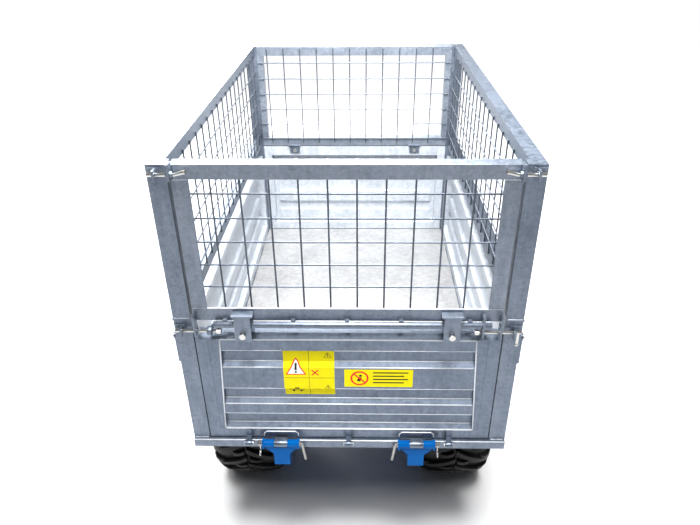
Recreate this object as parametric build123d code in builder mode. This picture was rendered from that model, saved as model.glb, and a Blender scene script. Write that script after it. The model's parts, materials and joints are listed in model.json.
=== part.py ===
from build123d import *
import math
import os

# Small galvanised drop-side trailer body with a welded-mesh cage, on a blue two-wheel chassis.
# Millimetres. X across (right seen from the rear), Y forwards, Z up, ground at Z = 0.
# The origin is on the ground, under the middle of the whole trailer's bounding box.

os.makedirs("parts", exist_ok=True)

# ---- driving dimensions ---------------------------------------------------------------------
BODY_W = 980.0  # over the corner posts
BODY_L = 1500.0  # rear face of the rear posts to front face of the front posts
FLOOR_Z = 602.0  # top of the floor frame
BEAM_H = 30.0  # floor frame members
TOP_Z = 1518.0  # top of the mesh cage
RAIL = 40.0  # square tube of the cage and of the drop panels' frames
POST_W = 50.0  # corner posts, across
SPLIT_Z = 1056.0  # top of the lower posts, where the cage posts are bolted on
PLATE_T = 6.0  # base plates and lugs
PANEL_TOP_Z = 1004.0  # top edge of the lower panels
PANEL_BOTTOM_Z = 606.0
GAP = 3.0  # gap between a panel and its posts

MESH_X = 75.0  # mesh opening, along
MESH_Z = 70.5  # mesh opening, up
WIRE_R = 2.5
MESH_TOP_Z = 1420.0  # first horizontal wire of the gate and of the sides
FRONT_MESH_TOP_Z = 1448.0
MESH_ROWS = 5
GATE_MESH_SHIFT = -10.0  # the meshes are welded on a little off centre
FRONT_MESH_SHIFT = -20.0

TYRE_R = 279.0  # 22 x 11-8 flotation tyre
TYRE_W = 278.0
TRACK = 792.0  # centre to centre of the tyres
AXLE_FROM_REAR = 516.0

DRAWBAR_LEN = 640.0  # ahead of the body
REAR_PROUD = 41.0  # heads of the strap bolts, behind the rear posts

CHASSIS_X = 212.0  # chassis rails and tipping brackets, from the centre line
CHASSIS_W = 50.0
CHASSIS_TOP_Z = 563.0
AXIS_BACK = 24.0  # tipping and tailgate hinge axis, behind the posts
AXIS_Z = 603.0

# ---- derived places -------------------------------------------------------------------------
REAR = -(BODY_L + DRAWBAR_LEN - REAR_PROUD) / 2
FRONT = REAR + BODY_L
HALF = BODY_W / 2
POST_IN = HALF - POST_W
DOOR_HALF = POST_IN - GAP
AXIS_Y = REAR - AXIS_BACK
AXLE_Y = REAR + AXLE_FROM_REAR
SIDES = {"left": -1, "right": 1}
LEVER_Y = {"rear": REAR + RAIL / 2, "front": FRONT - RAIL / 2}  # middles of the corner posts


def block(x, y, z, mode=Mode.ADD):
    """Box between two values on each axis."""
    with Locations(((x[0] + x[1]) / 2, (y[0] + y[1]) / 2, (z[0] + z[1]) / 2)):
        Box(abs(x[1] - x[0]), y[1] - y[0], z[1] - z[0], mode=mode)


def rod(start, end, radius, mode=Mode.ADD):
    """Round bar between two points."""
    path = Vector(*end) - Vector(*start)
    with BuildSketch(Plane(origin=start, z_dir=path)) as section:
        Circle(radius)
    extrude(section.sketch, amount=path.length, mode=mode)


def prism(plane, points, amount, mode=Mode.ADD):
    """Straight extrusion of a closed outline drawn on a plane."""
    with BuildSketch(plane) as section:
        with BuildLine():
            Polyline(*points, close=True)
        make_face()
    extrude(section.sketch, amount=amount, mode=mode)


def mirrored(x, side):
    """Pair of X values moved to the left or right side."""
    return (x[0], x[1]) if side > 0 else (-x[1], -x[0])


def save(part, name):
    part.label = name
    export_step(part, f"parts/{name}.step")
    print(f"{name:24s} solids {len(part.solids()):3d}  volume {part.volume / 1000:10.1f} cm3")


# ---- chassis --------------------------------------------------------------------------------
RAIL_REAR_Y = AXIS_Y + 4.0
RAIL_BOTTOM_Z = CHASSIS_TOP_Z - CHASSIS_W
CROSS_FROM_REAR = (150.0, 780.0, 1420.0)
CROSS_H = 40.0


def chassis_frame():
    """Two longitudinal tubes joined by cross members."""
    inner = CHASSIS_X - CHASSIS_W / 2
    with BuildPart() as frame:
        for side in SIDES.values():
            x = mirrored((inner, inner + CHASSIS_W), side)
            block(x, (RAIL_REAR_Y, FRONT - 20), (RAIL_BOTTOM_Z, CHASSIS_TOP_Z))
        for back in CROSS_FROM_REAR:
            span = (REAR + back, REAR + back + CHASSIS_W)
            block((-inner, inner), span, (RAIL_BOTTOM_Z, RAIL_BOTTOM_Z + CROSS_H))
        for side in SIDES.values():
            x = mirrored((inner + 4, inner + CHASSIS_W - 4), side)
            block(x, (AXLE_Y - 70, AXLE_Y + 70), (AXLE_Z + AXLE_TUBE / 2, RAIL_BOTTOM_Z))
    return frame.part


BRACKET_HALF = 52.0
CHEEK_T = 6.0
KNUCKLE_R = 12.0
PIN_R = 8.0
LUG_HALF = 20.0
RUN = 0.06  # radial running clearance
TONGUE_HALF = 25.0


def tipping_bracket(side):
    """Blue bracket on the end of a chassis rail: two tube knuckles, cheeks and a waisted plate."""
    centre = side * CHASSIS_X
    face = Plane.XZ.offset(-(AXIS_Y - 4))
    outline = [
        (centre - BRACKET_HALF, AXIS_Z),
        (centre - BRACKET_HALF, AXIS_Z - 16),
        (centre - TONGUE_HALF, AXIS_Z - 42),
        (centre - TONGUE_HALF, RAIL_BOTTOM_Z),
        (centre + TONGUE_HALF, RAIL_BOTTOM_Z),
        (centre + TONGUE_HALF, AXIS_Z - 42),
        (centre + BRACKET_HALF, AXIS_Z - 16),
        (centre + BRACKET_HALF, AXIS_Z),
    ]
    with BuildPart() as bracket:
        prism(face, outline, -8)
        for end in (-1, 1):
            outer = centre + end * BRACKET_HALF
            inner = centre + end * (LUG_HALF + 1)
            rod((outer, AXIS_Y, AXIS_Z), (inner, AXIS_Y, AXIS_Z), KNUCKLE_R)
            cheek = sorted((outer, outer + end * CHEEK_T))
            block(cheek, (AXIS_Y - KNUCKLE_R, AXIS_Y + 9), (AXIS_Z - 14, AXIS_Z + KNUCKLE_R))
        block(
            (centre - LUG_HALF - 1, centre + LUG_HALF + 1),
            (AXIS_Y - 20, AXIS_Y + 20),
            (AXIS_Z - KNUCKLE_R - 3, AXIS_Z + 20),
            mode=Mode.SUBTRACT,
        )
        reach = BRACKET_HALF + CHEEK_T + 1
        rod((centre - reach, AXIS_Y, AXIS_Z), (centre + reach, AXIS_Y, AXIS_Z), PIN_R + RUN, Mode.SUBTRACT)
    return bracket.part


PIN_OUT = BRACKET_HALF + CHEEK_T + 14.0
PIN_HEAD = BRACKET_HALF + CHEEK_T + 2.0
LEG_R = 4.5
LEG_DROP = 68.0
LEG_LEAN = 9.0
CLIP_R = 1.6
CLIP_IN = 6.0  # clip hole, from the end of its pin
CLIP_DROP = 34.0
CLIP_RING_R = 9.0


def tip_pins():
    """L-shaped pins of the tipping hinge, handles hanging on the inner sides."""
    with BuildPart() as pins:
        for side in SIDES.values():
            centre = side * CHASSIS_X
            outer = centre + side * PIN_OUT
            head = centre - side * PIN_HEAD
            rod((outer, AXIS_Y, AXIS_Z), (head, AXIS_Y, AXIS_Z), PIN_R)
            hole = centre + side * (PIN_OUT - CLIP_IN)
            rod((hole, AXIS_Y, AXIS_Z - 12), (hole, AXIS_Y, AXIS_Z + 12), CLIP_R + RUN, Mode.SUBTRACT)
            turn = (head - side * 6, AXIS_Y, AXIS_Z - 3)
            rod((head + side * 1.5, AXIS_Y, AXIS_Z - 2), turn, LEG_R)
            with Locations(turn):
                Sphere(LEG_R)
            rod(turn, (turn[0] - side * LEG_LEAN, AXIS_Y, AXIS_Z - LEG_DROP), LEG_R)
    return pins.part


def r_clips():
    """Spring clips through the outer ends of the tipping pins."""
    with BuildPart() as clips:
        for side in SIDES.values():
            x = side * (CHASSIS_X + PIN_OUT - CLIP_IN)
            rod((x, AXIS_Y, AXIS_Z + 12), (x, AXIS_Y, AXIS_Z - CLIP_DROP), CLIP_R)
            with Locations(Location((x, AXIS_Y - CLIP_RING_R + 1, AXIS_Z - CLIP_DROP), (0, 90, 0))):
                Torus(CLIP_RING_R, CLIP_R)
    return clips.part


PAD_FROM_REAR = (230.0, 800.0, 1440.0)


def rest_pads():
    """Rubber pads on the chassis rails that the body rests on."""
    with BuildPart() as pads:
        for side in SIDES.values():
            x = mirrored((CHASSIS_X - 20, CHASSIS_X + 20), side)
            for back in PAD_FROM_REAR:
                y = REAR + back
                block(x, (y - 25, y + 25), (CHASSIS_TOP_Z, FLOOR_Z - BEAM_H))
    return pads.part


DRAWBAR_W = 60.0
DRAWBAR_REAR_Y = REAR + CROSS_FROM_REAR[1]
DRAWBAR_TIP_Y = FRONT + DRAWBAR_LEN - 150.0
HITCH_Z = RAIL_BOTTOM_Z - DRAWBAR_W / 2
RING_R = 20.0  # bore of the towing eye
RING_BAR = 15.0


def drawbar():
    """Single drawbar tube under the cross members, with an end plate, stand ears and two gussets."""
    half = DRAWBAR_W / 2
    with BuildPart() as bar:
        block((-half, half), (DRAWBAR_REAR_Y, DRAWBAR_TIP_Y), (RAIL_BOTTOM_Z - DRAWBAR_W, RAIL_BOTTOM_Z))
        block(
            (-50, 50),
            (DRAWBAR_TIP_Y, DRAWBAR_TIP_Y + 10),
            (HITCH_Z - 45, HITCH_Z + 45),
        )
        for side in SIDES.values():
            x = mirrored((half, half + 6), side)
            block(x, (STAND_Y - 30, STAND_Y + 30), (STAND_AXIS_Z - 25, RAIL_BOTTOM_Z - 8))
        for z in (HITCH_Z - 33, HITCH_Z + 33):
            for x in (-36, 36):
                rod((x, DRAWBAR_TIP_Y - 1, z), (x, DRAWBAR_TIP_Y + 11, z), 6.5, Mode.SUBTRACT)
        rod((-half - 8, STAND_Y, STAND_AXIS_Z), (half + 8, STAND_Y, STAND_AXIS_Z), 8, Mode.SUBTRACT)
    return bar.part


def hitch_ring():
    """Bolted towing eye: flange, shank, ring and its four bolts."""
    face = DRAWBAR_TIP_Y + 10
    centre_y = FRONT + DRAWBAR_LEN - RING_R - 2 * RING_BAR
    with BuildPart() as ring:
        block((-50, 50), (face, face + 10), (HITCH_Z - 45, HITCH_Z + 45))
        rod((0, face, HITCH_Z), (0, centre_y, HITCH_Z), 16)
        with Locations((0, centre_y, HITCH_Z)):
            Cylinder(RING_R + 2 * RING_BAR, 24)
        rod((0, centre_y, HITCH_Z - 40), (0, centre_y, HITCH_Z + 40), RING_R, Mode.SUBTRACT)
        for x in (-36, 36):
            for z in (HITCH_Z - 33, HITCH_Z + 33):
                rod((x, face - 20, z), (x, face + 18, z), 6)
                rod((x, face + 10, z), (x, face + 17, z), 10)
    return ring.part


AXLE_Z = TYRE_R
AXLE_TUBE = 50.0
STUB_R = 15.0
STUB_END = TRACK / 2 + 62.0
AXLE_HALF = TRACK / 2 - TYRE_W / 2 + 25.0


def axle_beam():
    """Square axle tube with turned stub axles."""
    half = AXLE_TUBE / 2
    with BuildPart() as axle:
        block((-AXLE_HALF, AXLE_HALF), (AXLE_Y - half, AXLE_Y + half), (AXLE_Z - half, AXLE_Z + half))
        rod((-STUB_END, AXLE_Y, AXLE_Z), (STUB_END, AXLE_Y, AXLE_Z), STUB_R)
    return axle.part


# ---- wheels ---------------------------------------------------------------------------------
RIM_R = 104.0
RIM_HALF = 108.0
DISC_X = 30.0  # wheel disc, outboard of the tyre's middle
HUB_R = 42.0
NUT_PCD = 100.0
NUT_COUNT = 4


def wheel_plane(side):
    """Plane through the wheel's centre: its X is the axle's outward direction, its Y is up."""
    return Plane(
        origin=(side * TRACK / 2, AXLE_Y, AXLE_Z),
        x_dir=(side, 0, 0),
        z_dir=(0, -side, 0),
    )


def turned(side, outline):
    """Solid of revolution about the axle line; the outline is (along axle, radius)."""
    plane = wheel_plane(side)
    with BuildPart() as solid:
        with BuildSketch(plane):
            with BuildLine():
                Polyline(*outline, close=True)
            make_face()
        revolve(axis=Axis(plane.origin, plane.x_dir), revolution_arc=360)
    return solid


def flipped(point):
    """Point of a half section moved to the other half."""
    return (-point[0], point[1])


def tyre(side):
    """Low-pressure tyre: crowned tread, rounded shoulders, hollow casing open at the rim."""
    plane = wheel_plane(side)
    half = TYRE_W / 2
    bead = RIM_HALF - 14
    with BuildPart() as casing:
        with BuildSketch(plane):
            with BuildLine():
                foot = (bead, RIM_R + 2)
                wall = (half, RIM_R + 75)
                shoulder = (half - 34, TYRE_R - 16)
                foot_in = (bead - 22, RIM_R + 2)
                wall_in = (half - 18, RIM_R + 75)
                shoulder_in = (half - 46, TYRE_R - 38)
                Spline(flipped(foot), flipped(wall), flipped(shoulder), tangents=((-0.6, 1), (1, 0.55)))
                ThreePointArc(flipped(shoulder), (0, TYRE_R), shoulder)
                Spline(shoulder, wall, foot, tangents=((1, -0.55), (-0.6, -1)))
                Line(foot, foot_in)
                Spline(foot_in, wall_in, shoulder_in, tangents=((0.6, 1), (-1, 0.5)))
                ThreePointArc(shoulder_in, (0, TYRE_R - 24), flipped(shoulder_in))
                Spline(flipped(shoulder_in), flipped(wall_in), flipped(foot_in), tangents=((-1, -0.5), (0.6, -1)))
                Line(flipped(foot_in), flipped(foot))
            make_face()
        revolve(axis=Axis(plane.origin, plane.x_dir), revolution_arc=360)
    return casing.part


def rim(side):
    """Pressed steel rim with a well, flanges and a disc bolted to the hub."""
    outline = [
        (-RIM_HALF, RIM_R + 14),
        (-RIM_HALF + 6, RIM_R + 14),
        (-RIM_HALF + 8, RIM_R + 1.5),
        (-60, RIM_R + 1.5),
        (-48, RIM_R - 14),
        (48, RIM_R - 14),
        (60, RIM_R + 1.5),
        (RIM_HALF - 8, RIM_R + 1.5),
        (RIM_HALF - 6, RIM_R + 14),
        (RIM_HALF, RIM_R + 14),
        (RIM_HALF, RIM_R - 2),
        (62, RIM_R - 2),
        (50, RIM_R - 18),
        (DISC_X + 4, RIM_R - 18),
        (DISC_X + 4, 31),
        (DISC_X, 31),
        (DISC_X, RIM_R - 18),
        (-50, RIM_R - 18),
        (-62, RIM_R - 2),
        (-RIM_HALF, RIM_R - 2),
    ]
    solid = turned(side, outline)
    plane = wheel_plane(side)
    with BuildPart() as wheel:
        add(solid.part)
        with Locations(Plane(plane.origin, x_dir=(0, 1, 0), z_dir=plane.x_dir)):
            with Locations((0, 0, DISC_X + 2)):
                with PolarLocations(NUT_PCD / 2, NUT_COUNT):
                    Cylinder(6.5, 20, mode=Mode.SUBTRACT)
    return wheel.part


def hub(side):
    """Hub shell with a flange, turning on the stub axle, and a grease cap."""
    bore = STUB_R + RUN
    end = STUB_END - TRACK / 2
    outline = [
        (-62, bore),
        (-62, 26),
        (DISC_X - 10, 30),
        (DISC_X - 10, HUB_R + 22),
        (DISC_X, HUB_R + 22),
        (DISC_X, 30.5),
        (end - 6, 28),
        (end + 14, 24),
        (end + 20, 16),
        (end + 20, 0),
        (end + 4, 0),
        (end + 4, bore),
    ]
    return turned(side, outline).part


def wheel_nuts(side):
    """Studs with hexagon nuts that hold the wheel disc on the hub."""
    plane = wheel_plane(side)
    with BuildPart() as nuts:
        for k in range(NUT_COUNT):
            angle = math.radians(360 / NUT_COUNT * k)
            y = plane.origin.Y + NUT_PCD / 2 * math.cos(angle)
            z = plane.origin.Z + NUT_PCD / 2 * math.sin(angle)
            x = plane.origin.X + side * (DISC_X + 4)
            with BuildSketch(Plane(origin=(x, y, z), z_dir=(side, 0, 0))):
                RegularPolygon(10, 6)
            extrude(amount=11)
            rod((x - side * 4, y, z), (x + side * 16, y, z), 6)
    return nuts.part


# ---- stand and tipping latch ----------------------------------------------------------------
STAND_Y = FRONT + 250.0
STAND_AXIS_Z = RAIL_BOTTOM_Z - DRAWBAR_W - 40.0
BOLT_R = 6.0
LATCH_Y = FRONT + 16.0
LATCH_Z = RAIL_BOTTOM_Z + 14.0


def prop_stand():
    """Swing-down prop: round leg with a fork eye at the top and a dished foot."""
    foot_y = STAND_Y + 18.0
    with BuildPart() as stand:
        rod((-28, STAND_Y, STAND_AXIS_Z), (28, STAND_Y, STAND_AXIS_Z), 14)
        rod((0, STAND_Y, STAND_AXIS_Z), (0, foot_y, 6), 17)
        block((-55, 55), (foot_y - 45, foot_y + 45), (0, 6))
        rod((-29, STAND_Y, STAND_AXIS_Z), (29, STAND_Y, STAND_AXIS_Z), BOLT_R + RUN, Mode.SUBTRACT)
    return stand.part


def pivot_bolts():
    """Pivot bolts of the stand and of the tipping latch."""
    reach = DRAWBAR_W / 2 + 6
    with BuildPart() as bolts:
        rod((-reach - 10, STAND_Y, STAND_AXIS_Z), (reach + 10, STAND_Y, STAND_AXIS_Z), BOLT_R)
        for end in (-1, 1):
            x = end * reach
            rod((x, STAND_Y, STAND_AXIS_Z), (x + end * 8, STAND_Y, STAND_AXIS_Z), 10)
        rod((-24, LATCH_Y, LATCH_Z), (24, LATCH_Y, LATCH_Z), BOLT_R)
        for end in (-1, 1):
            x = sorted((end * 10, end * 16))
            block(x, (REAR + CROSS_FROM_REAR[2] + 50, LATCH_Y + 12), (LATCH_Z - 12, LATCH_Z + 12))
    return bolts.part


def tip_latch():
    """Hook lever that holds the front of the body down on the chassis."""
    with BuildPart() as latch:
        rod((-8, LATCH_Y, LATCH_Z), (8, LATCH_Y, LATCH_Z), 13)
        block((-8, 8), (LATCH_Y - 4, LATCH_Y + 8), (LATCH_Z, STRIKER_Z + 24))
        block((-8, 8), (FRONT + 2, LATCH_Y + 8), (STRIKER_Z + 11, STRIKER_Z + 24))
        rod((0, LATCH_Y + 4, LATCH_Z + 40), (0, LATCH_Y + 60, LATCH_Z + 60), 7)
        rod((-9, LATCH_Y, LATCH_Z), (9, LATCH_Y, LATCH_Z), BOLT_R + RUN, Mode.SUBTRACT)
    return latch.part


# ---- box body -------------------------------------------------------------------------------
BEAM_BACK = 10.0  # the rear beam stands out behind the posts
CROSS_STEP = 250.0
HINGE_X = (-313.0, 0.0, 313.0)
SIDE_HINGE_Y = (0.14, 0.5, 0.86)
EAR_T = 5.0
EAR_R = 9.0
KNUCKLE_HALF = 8.0
HINGE_PIN_R = 6.0
SIDE_AXIS_X = HALF + 13.0
SIDE_AXIS_Z = 598.0
STRIKER_Z = FLOOR_Z - BEAM_H + 4.0


def floor_frame():
    """Perimeter beams, cross members, hinge ears and the latch striker under the floor."""
    low = FLOOR_Z - BEAM_H
    inner = HALF - RAIL
    with BuildPart() as frame:
        block((-HALF, HALF), (REAR - BEAM_BACK, REAR + 30), (low, FLOOR_Z))
        block((-HALF, HALF), (FRONT - RAIL, FRONT), (low, FLOOR_Z))
        for side in SIDES.values():
            block(mirrored((inner, HALF), side), (REAR, FRONT), (low, FLOOR_Z))
            block(mirrored((CHASSIS_X - 20, CHASSIS_X + 20), side), (REAR, FRONT), (low, FLOOR_Z))
        steps = int(BODY_L / CROSS_STEP)
        for k in range(1, steps):
            y = REAR + k * CROSS_STEP
            block((-inner, inner), (y - 20, y + 20), (low, FLOOR_Z))
        block((-12, 12), (FRONT, FRONT + 10), (STRIKER_Z, STRIKER_Z + 10))
        for x in HINGE_X:
            for end in (-1, 1):
                ear = sorted((x + end * (KNUCKLE_HALF + 0.5), x + end * (KNUCKLE_HALF + 0.5 + EAR_T)))
                block(ear, (AXIS_Y, REAR - BEAM_BACK), (AXIS_Z - EAR_R, AXIS_Z + EAR_R - 10))
                rod((ear[0], AXIS_Y, AXIS_Z), (ear[1], AXIS_Y, AXIS_Z), EAR_R)
            rod((x - 16, AXIS_Y, AXIS_Z), (x + 16, AXIS_Y, AXIS_Z), HINGE_PIN_R, Mode.SUBTRACT)
        for side in SIDES.values():
            axis_x = side * SIDE_AXIS_X
            for share in SIDE_HINGE_Y:
                y = REAR + share * BODY_L
                for end in (-1, 1):
                    ear = sorted((y + end * (KNUCKLE_HALF + 0.5), y + end * (KNUCKLE_HALF + 0.5 + EAR_T)))
                    block(mirrored((HALF, SIDE_AXIS_X), side), ear, (SIDE_AXIS_Z - EAR_R, SIDE_AXIS_Z + 2))
                    rod((axis_x, ear[0], SIDE_AXIS_Z), (axis_x, ear[1], SIDE_AXIS_Z), EAR_R)
                rod((axis_x, y - 16, SIDE_AXIS_Z), (axis_x, y + 16, SIDE_AXIS_Z), HINGE_PIN_R, Mode.SUBTRACT)
    return frame.part


def floor_sheet():
    """Floor plate lying on the frame between the drop panels."""
    with BuildPart() as sheet:
        reach = HALF - RAIL - GAP
        block((-reach, reach), (REAR + RAIL + GAP, FRONT - RAIL - GAP), (FLOOR_Z, FLOOR_Z + 3))
    return sheet.part


def tip_lugs():
    """Galvanised lugs on the rear beam that turn on the tipping pins."""
    with BuildPart() as lugs:
        for side in SIDES.values():
            x = (side * CHASSIS_X - LUG_HALF, side * CHASSIS_X + LUG_HALF)
            block(x, (AXIS_Y, REAR - BEAM_BACK), (AXIS_Z - KNUCKLE_R, AXIS_Z + KNUCKLE_R))
            rod((x[0], AXIS_Y, AXIS_Z), (x[1], AXIS_Y, AXIS_Z), KNUCKLE_R)
            rod((x[0] - 1, AXIS_Y, AXIS_Z), (x[1] + 1, AXIS_Y, AXIS_Z), PIN_R + RUN, Mode.SUBTRACT)
    return lugs.part


def hinge_pins():
    """Pins of the tailgate's and the drop sides' bottom hinges, fixed in their ears."""
    with BuildPart() as pins:
        for x in HINGE_X:
            rod((x - 15.5, AXIS_Y, AXIS_Z), (x + 15.5, AXIS_Y, AXIS_Z), HINGE_PIN_R)
        for side in SIDES.values():
            for share in SIDE_HINGE_Y:
                y = REAR + share * BODY_L
                x = side * SIDE_AXIS_X
                rod((x, y - 15.5, SIDE_AXIS_Z), (x, y + 15.5, SIDE_AXIS_Z), HINGE_PIN_R)
    return pins.part


def lower_post(side, rear_y):
    """Lower corner post standing on the floor frame."""
    with BuildPart() as post:
        block(mirrored((POST_IN, HALF), side), (rear_y, rear_y + RAIL), (FLOOR_Z, SPLIT_Z))
    return post.part


# Ribs pressed into every lower panel: top edge, measured up from the panel's bottom edge.
RIB_TOPS = (98.0, 199.0, 342.0)
RIB_H = 62.0
RIB_D = 14.0
SKIN = 2.0
STILE = 35.0
BEVEL = 15.0
FOLD = 1.2  # the tapered end plates sit this far inside the stiles


def pressed_panel(half_length, inset_top, inset_bottom, height=PANEL_TOP_Z - PANEL_BOTTOM_Z, top_tube=8.0):
    """Lower panel in its own frame: outer face at Y = 0, bottom at Z = 0, centred on X.

    Frame of folded sections, a thin sheet with pressed ribs between them, and tapered end plates.
    """
    top_rail = height - BEVEL
    rail_bottom = RIB_TOPS[0] - RIB_H
    edge = half_length - STILE
    profile = Plane.YZ.offset(-half_length)

    def taper(z):
        share = (z - rail_bottom) / (top_rail - rail_bottom)
        return half_length - inset_bottom - (inset_top - inset_bottom) * share

    with BuildPart() as panel:
        section = [(0, 0), (0, top_rail), (BEVEL, height), (RAIL, height), (RAIL, 0)]
        prism(profile, section, 2 * half_length)
        block((-edge, edge), (SKIN + SKIN, RAIL), (rail_bottom, top_rail - top_tube), Mode.SUBTRACT)
        block((-edge, edge), (0, SKIN), (rail_bottom, top_rail), Mode.SUBTRACT)
        for top in RIB_TOPS:
            end = taper(top - RIB_H / 2)
            low = top - RIB_H
            deep = SKIN + RIB_D
            bump = [(SKIN, low - 3), (SKIN, top + SKIN), (deep + SKIN, top + SKIN), (deep + SKIN, low + RIB_D - 1)]
            hollow = [(-1, low - 3), (SKIN, low), (deep, low + RIB_D), (deep, top), (-1, top)]
            prism(Plane.YZ.offset(-end - SKIN), bump, 2 * (end + SKIN))
            prism(Plane.YZ.offset(-end), hollow, 2 * end, Mode.SUBTRACT)
        for side in (-1, 1):
            plate = [
                (side * (edge + 1), rail_bottom),
                (side * taper(rail_bottom), rail_bottom),
                (side * taper(top_rail), top_rail),
                (side * (edge + 1), top_rail),
            ]
            prism(Plane.XZ.offset(-FOLD), plate, -SKIN)
    return panel.part


def placed(part, origin, turn):
    return Location(origin, (0, 0, turn)) * part


STRAP_X = 290.0
STRAP_HALF = 23.0
STRAP_BOLT_Z = 1027.0
EAR_Y = REAR + BEVEL
HEEL_HALF = 54.0
HEEL_H = 28.0
HEEL_T = 4.0


def tailgate():
    """Drop tailgate with hinge knuckles, heel plates over the brackets and ears for the straps."""
    with BuildPart() as gate:
        add(placed(pressed_panel(DOOR_HALF, 70, 51), (0, REAR, PANEL_BOTTOM_Z), 0))
        for side in SIDES.values():
            centre = side * CHASSIS_X
            with BuildSketch(Plane.XZ.offset(-REAR)):
                with Locations((centre, PANEL_BOTTOM_Z + HEEL_H / 2)):
                    RectangleRounded(2 * HEEL_HALF, HEEL_H, 9)
            extrude(amount=HEEL_T)
            ear = (side * STRAP_X - STRAP_HALF, side * STRAP_X + STRAP_HALF)
            block(ear, (EAR_Y, EAR_Y + PLATE_T), (PANEL_TOP_Z - 1, STRAP_BOLT_Z + 18))
            bolt_x = side * STRAP_X
            rod((bolt_x, EAR_Y - 1, STRAP_BOLT_Z), (bolt_x, EAR_Y + 10, STRAP_BOLT_Z), BOLT_R, Mode.SUBTRACT)
        for x in HINGE_X:
            span = (x - KNUCKLE_HALF, x + KNUCKLE_HALF)
            rod((span[0], AXIS_Y, AXIS_Z), (span[1], AXIS_Y, AXIS_Z), EAR_R)
            block(span, (AXIS_Y, REAR), (AXIS_Z + 3, AXIS_Z + 12))
            block(span, (REAR - 5, REAR), (AXIS_Z + 3, AXIS_Z + 38))
            rod((span[0] - 1, AXIS_Y, AXIS_Z), (span[1] + 1, AXIS_Y, AXIS_Z), HINGE_PIN_R + RUN, Mode.SUBTRACT)
    return gate.part


def side_panel(side):
    """Drop side between the corner posts, hinged along its bottom edge."""
    half_length = BODY_L / 2 - RAIL - GAP
    middle = (REAR + FRONT) / 2
    with BuildPart() as panel:
        add(placed(pressed_panel(half_length, 60, 60), (side * HALF, middle, PANEL_BOTTOM_Z), 90 * side))
        axis_x = side * SIDE_AXIS_X
        for share in SIDE_HINGE_Y:
            y = REAR + share * BODY_L
            span = (y - KNUCKLE_HALF, y + KNUCKLE_HALF)
            rod((axis_x, span[0], SIDE_AXIS_Z), (axis_x, span[1], SIDE_AXIS_Z), EAR_R)
            block(mirrored((HALF, SIDE_AXIS_X), side), span, (PANEL_BOTTOM_Z + 1, PANEL_BOTTOM_Z + 8))
            block(mirrored((SIDE_AXIS_X - 5, SIDE_AXIS_X + 4), side), span, (SIDE_AXIS_Z, PANEL_BOTTOM_Z + 8))
            block(mirrored((HALF, HALF + 5), side), span, (PANEL_BOTTOM_Z + 1, PANEL_BOTTOM_Z + 32))
            start = (axis_x, span[0] - 1, SIDE_AXIS_Z)
            rod(start, (axis_x, span[1] + 1, SIDE_AXIS_Z), HINGE_PIN_R + RUN, Mode.SUBTRACT)
    return panel.part


FRONT_TOP_Z = SPLIT_Z - 4.0  # the front panel reaches up to its mesh frame
STRAP_IN_Z = 1034.0  # bolts of the front straps
INNER_Y = FRONT - RAIL


def front_panel():
    """Fixed front panel between the front posts."""
    pressed = pressed_panel(POST_IN, 60, 60, height=FRONT_TOP_Z - PANEL_BOTTOM_Z, top_tube=30.0)
    with BuildPart() as panel:
        add(placed(pressed, (0, FRONT, PANEL_BOTTOM_Z), 180))
        for side in SIDES.values():
            x = side * STRAP_X
            rod((x, INNER_Y - 1, STRAP_IN_Z), (x, INNER_Y + 18, STRAP_IN_Z), BOLT_R, Mode.SUBTRACT)
    return panel.part


# ---- mesh cage ------------------------------------------------------------------------------
CAGE_FOOT_Z = SPLIT_Z + PLATE_T
FOOT_BOLT_Z = CAGE_FOOT_Z + 12.0
FOOT_BOLT_R = 5.0


def side_mesh_frame(side):
    """Side frame of the cage: two posts with base plates, top rail and bottom rail."""
    rail_x = mirrored((HALF - RAIL, HALF), side)
    post_x = mirrored((POST_IN, HALF), side)
    plate_x = mirrored((POST_IN, HALF + 2), side)
    with BuildPart() as frame:
        for y in (REAR, FRONT - RAIL):
            block(post_x, (y, y + RAIL), (CAGE_FOOT_Z, TOP_Z))
            block(plate_x, (y - 2, y + RAIL + 2), (SPLIT_Z, CAGE_FOOT_Z))
            middle = y + RAIL / 2
            bore = ((side * (HALF - 20), middle, FOOT_BOLT_Z), (side * (HALF + 1), middle, FOOT_BOLT_Z))
            rod(*bore, FOOT_BOLT_R, Mode.SUBTRACT)
        block(rail_x, (REAR + RAIL - 1, FRONT - RAIL + 1), (TOP_Z - RAIL, TOP_Z))
        block(rail_x, (REAR + RAIL - 1, FRONT - RAIL + 1), (SPLIT_Z, SPLIT_Z + RAIL))
    return frame.part


def wires(uprights, crosswise):
    """Wires as separate round bars that touch where they cross."""
    with BuildPart() as mesh:
        for start, end in uprights:
            rod(start, end, WIRE_R)
    with BuildPart() as cross:
        for start, end in crosswise:
            rod(start, end, WIRE_R)
    return Compound(children=list(mesh.part.solids()) + list(cross.part.solids()))


MESH_UP = (SPLIT_Z + RAIL - 12, TOP_Z - RAIL + 12)
LONG_UP = (SPLIT_Z + 16, TOP_Z - 9)  # front mesh, across its frame's rails
GATE_UP = (SPLIT_Z + 1, TOP_Z - 1)
GATE_HALF = 432.0  # leaves an open joint beside the posts
GATE_STILE = 43.0
GATE_T = 5.0
FRONT_STILE = 25.0


def row_heights(top, count):
    return [top - k * MESH_Z for k in range(count)]


def rear_mesh():
    """Mesh of the rear gate, welded to the inner edges of its frame's angles."""
    y = REAR + RAIL + WIRE_R
    half = GATE_HALF + 4
    rows = row_heights(MESH_TOP_Z, MESH_ROWS)
    ups = [GATE_MESH_SHIFT + (k - 4.5) * MESH_X for k in range(10)]
    uprights = [((x, y, GATE_UP[0]), (x, y, GATE_UP[1])) for x in ups]
    cross = [((-half, y + 2 * WIRE_R, z), (half, y + 2 * WIRE_R, z)) for z in rows]
    return wires(uprights, cross)


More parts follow.
